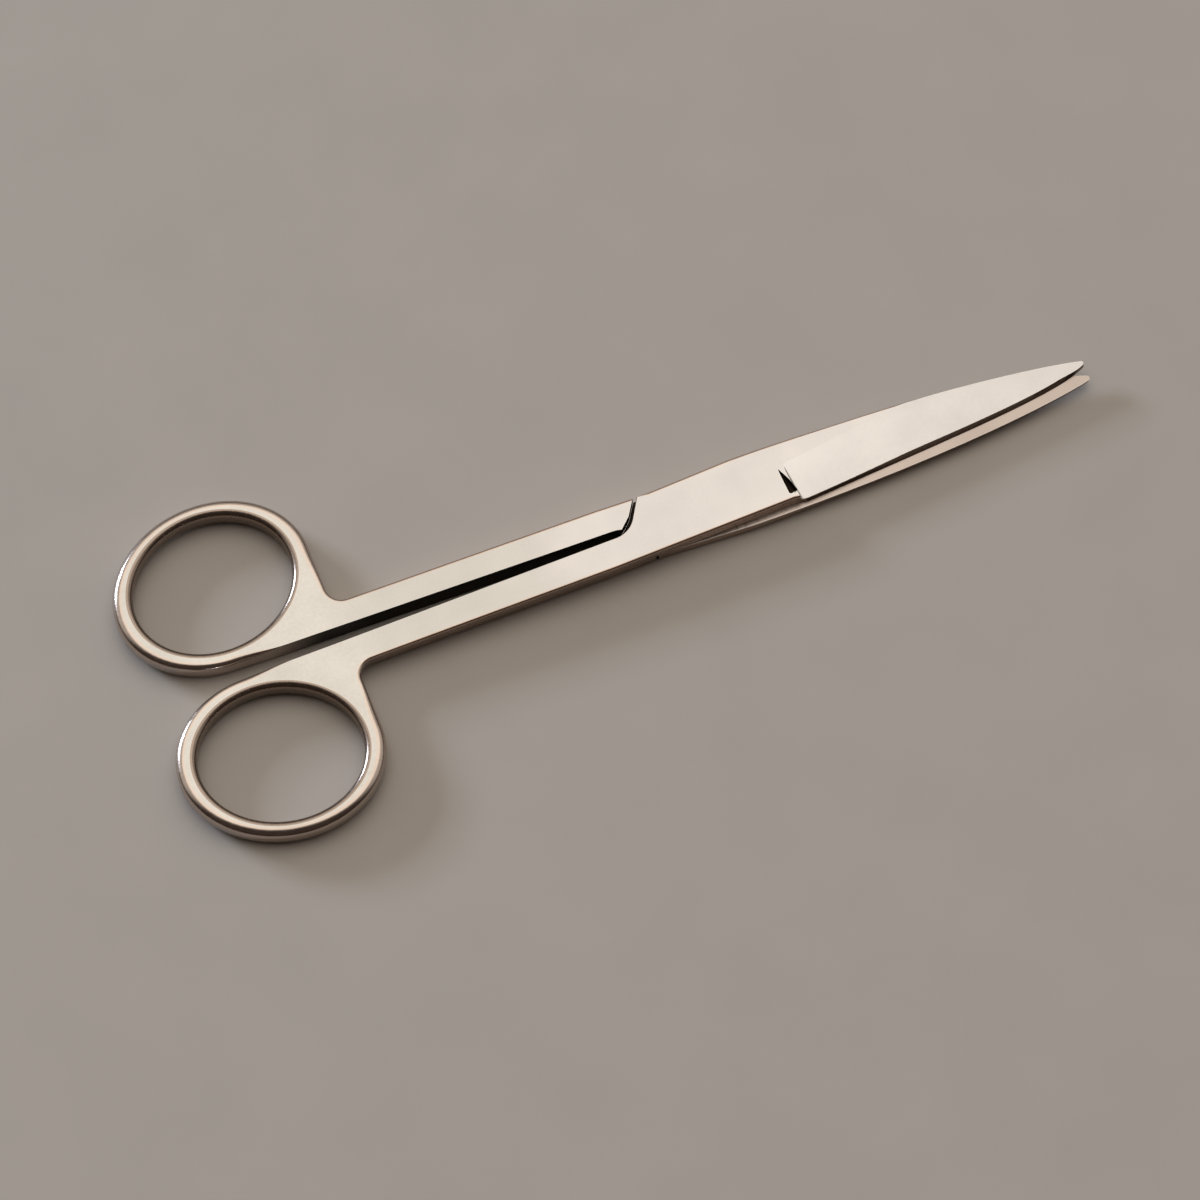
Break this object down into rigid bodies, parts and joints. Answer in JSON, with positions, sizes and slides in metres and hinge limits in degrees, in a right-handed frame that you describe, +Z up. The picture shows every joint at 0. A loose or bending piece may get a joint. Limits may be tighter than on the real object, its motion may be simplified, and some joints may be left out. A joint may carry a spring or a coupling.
{
  "type": "surgical scissors",
  "caption": "Straight operating scissors of satin steel: two lapped halves with finger rings, joined by a flush pivot screw, standing slightly open.",
  "frame": {"origin": "pivot axis, in the plane that the scissors lie on", "axes": "+X to the tips, +Y to the back half's finger ring, +Z up out of the front half's outer face"},
  "size_m": [0.1464, 0.0542, 0.0038],
  "materials": {
    "satin_steel": "satin ground faces, polished rings",
    "screw_steel": "turned and ground flush"
  },
  "bodies": {
    "back_half": {"back_half": "satin_steel"},
    "front_half": {"front_half": "satin_steel", "pivot_screw": "screw_steel"}
  },
  "joints": [
    {"name": "pivot", "type": "hinge", "parent": "back_half", "child": "front_half", "pos_m": [0, 0, 0.0019], "axis": [0, 0, 1], "range_deg": [-2, 120]}
  ]
}
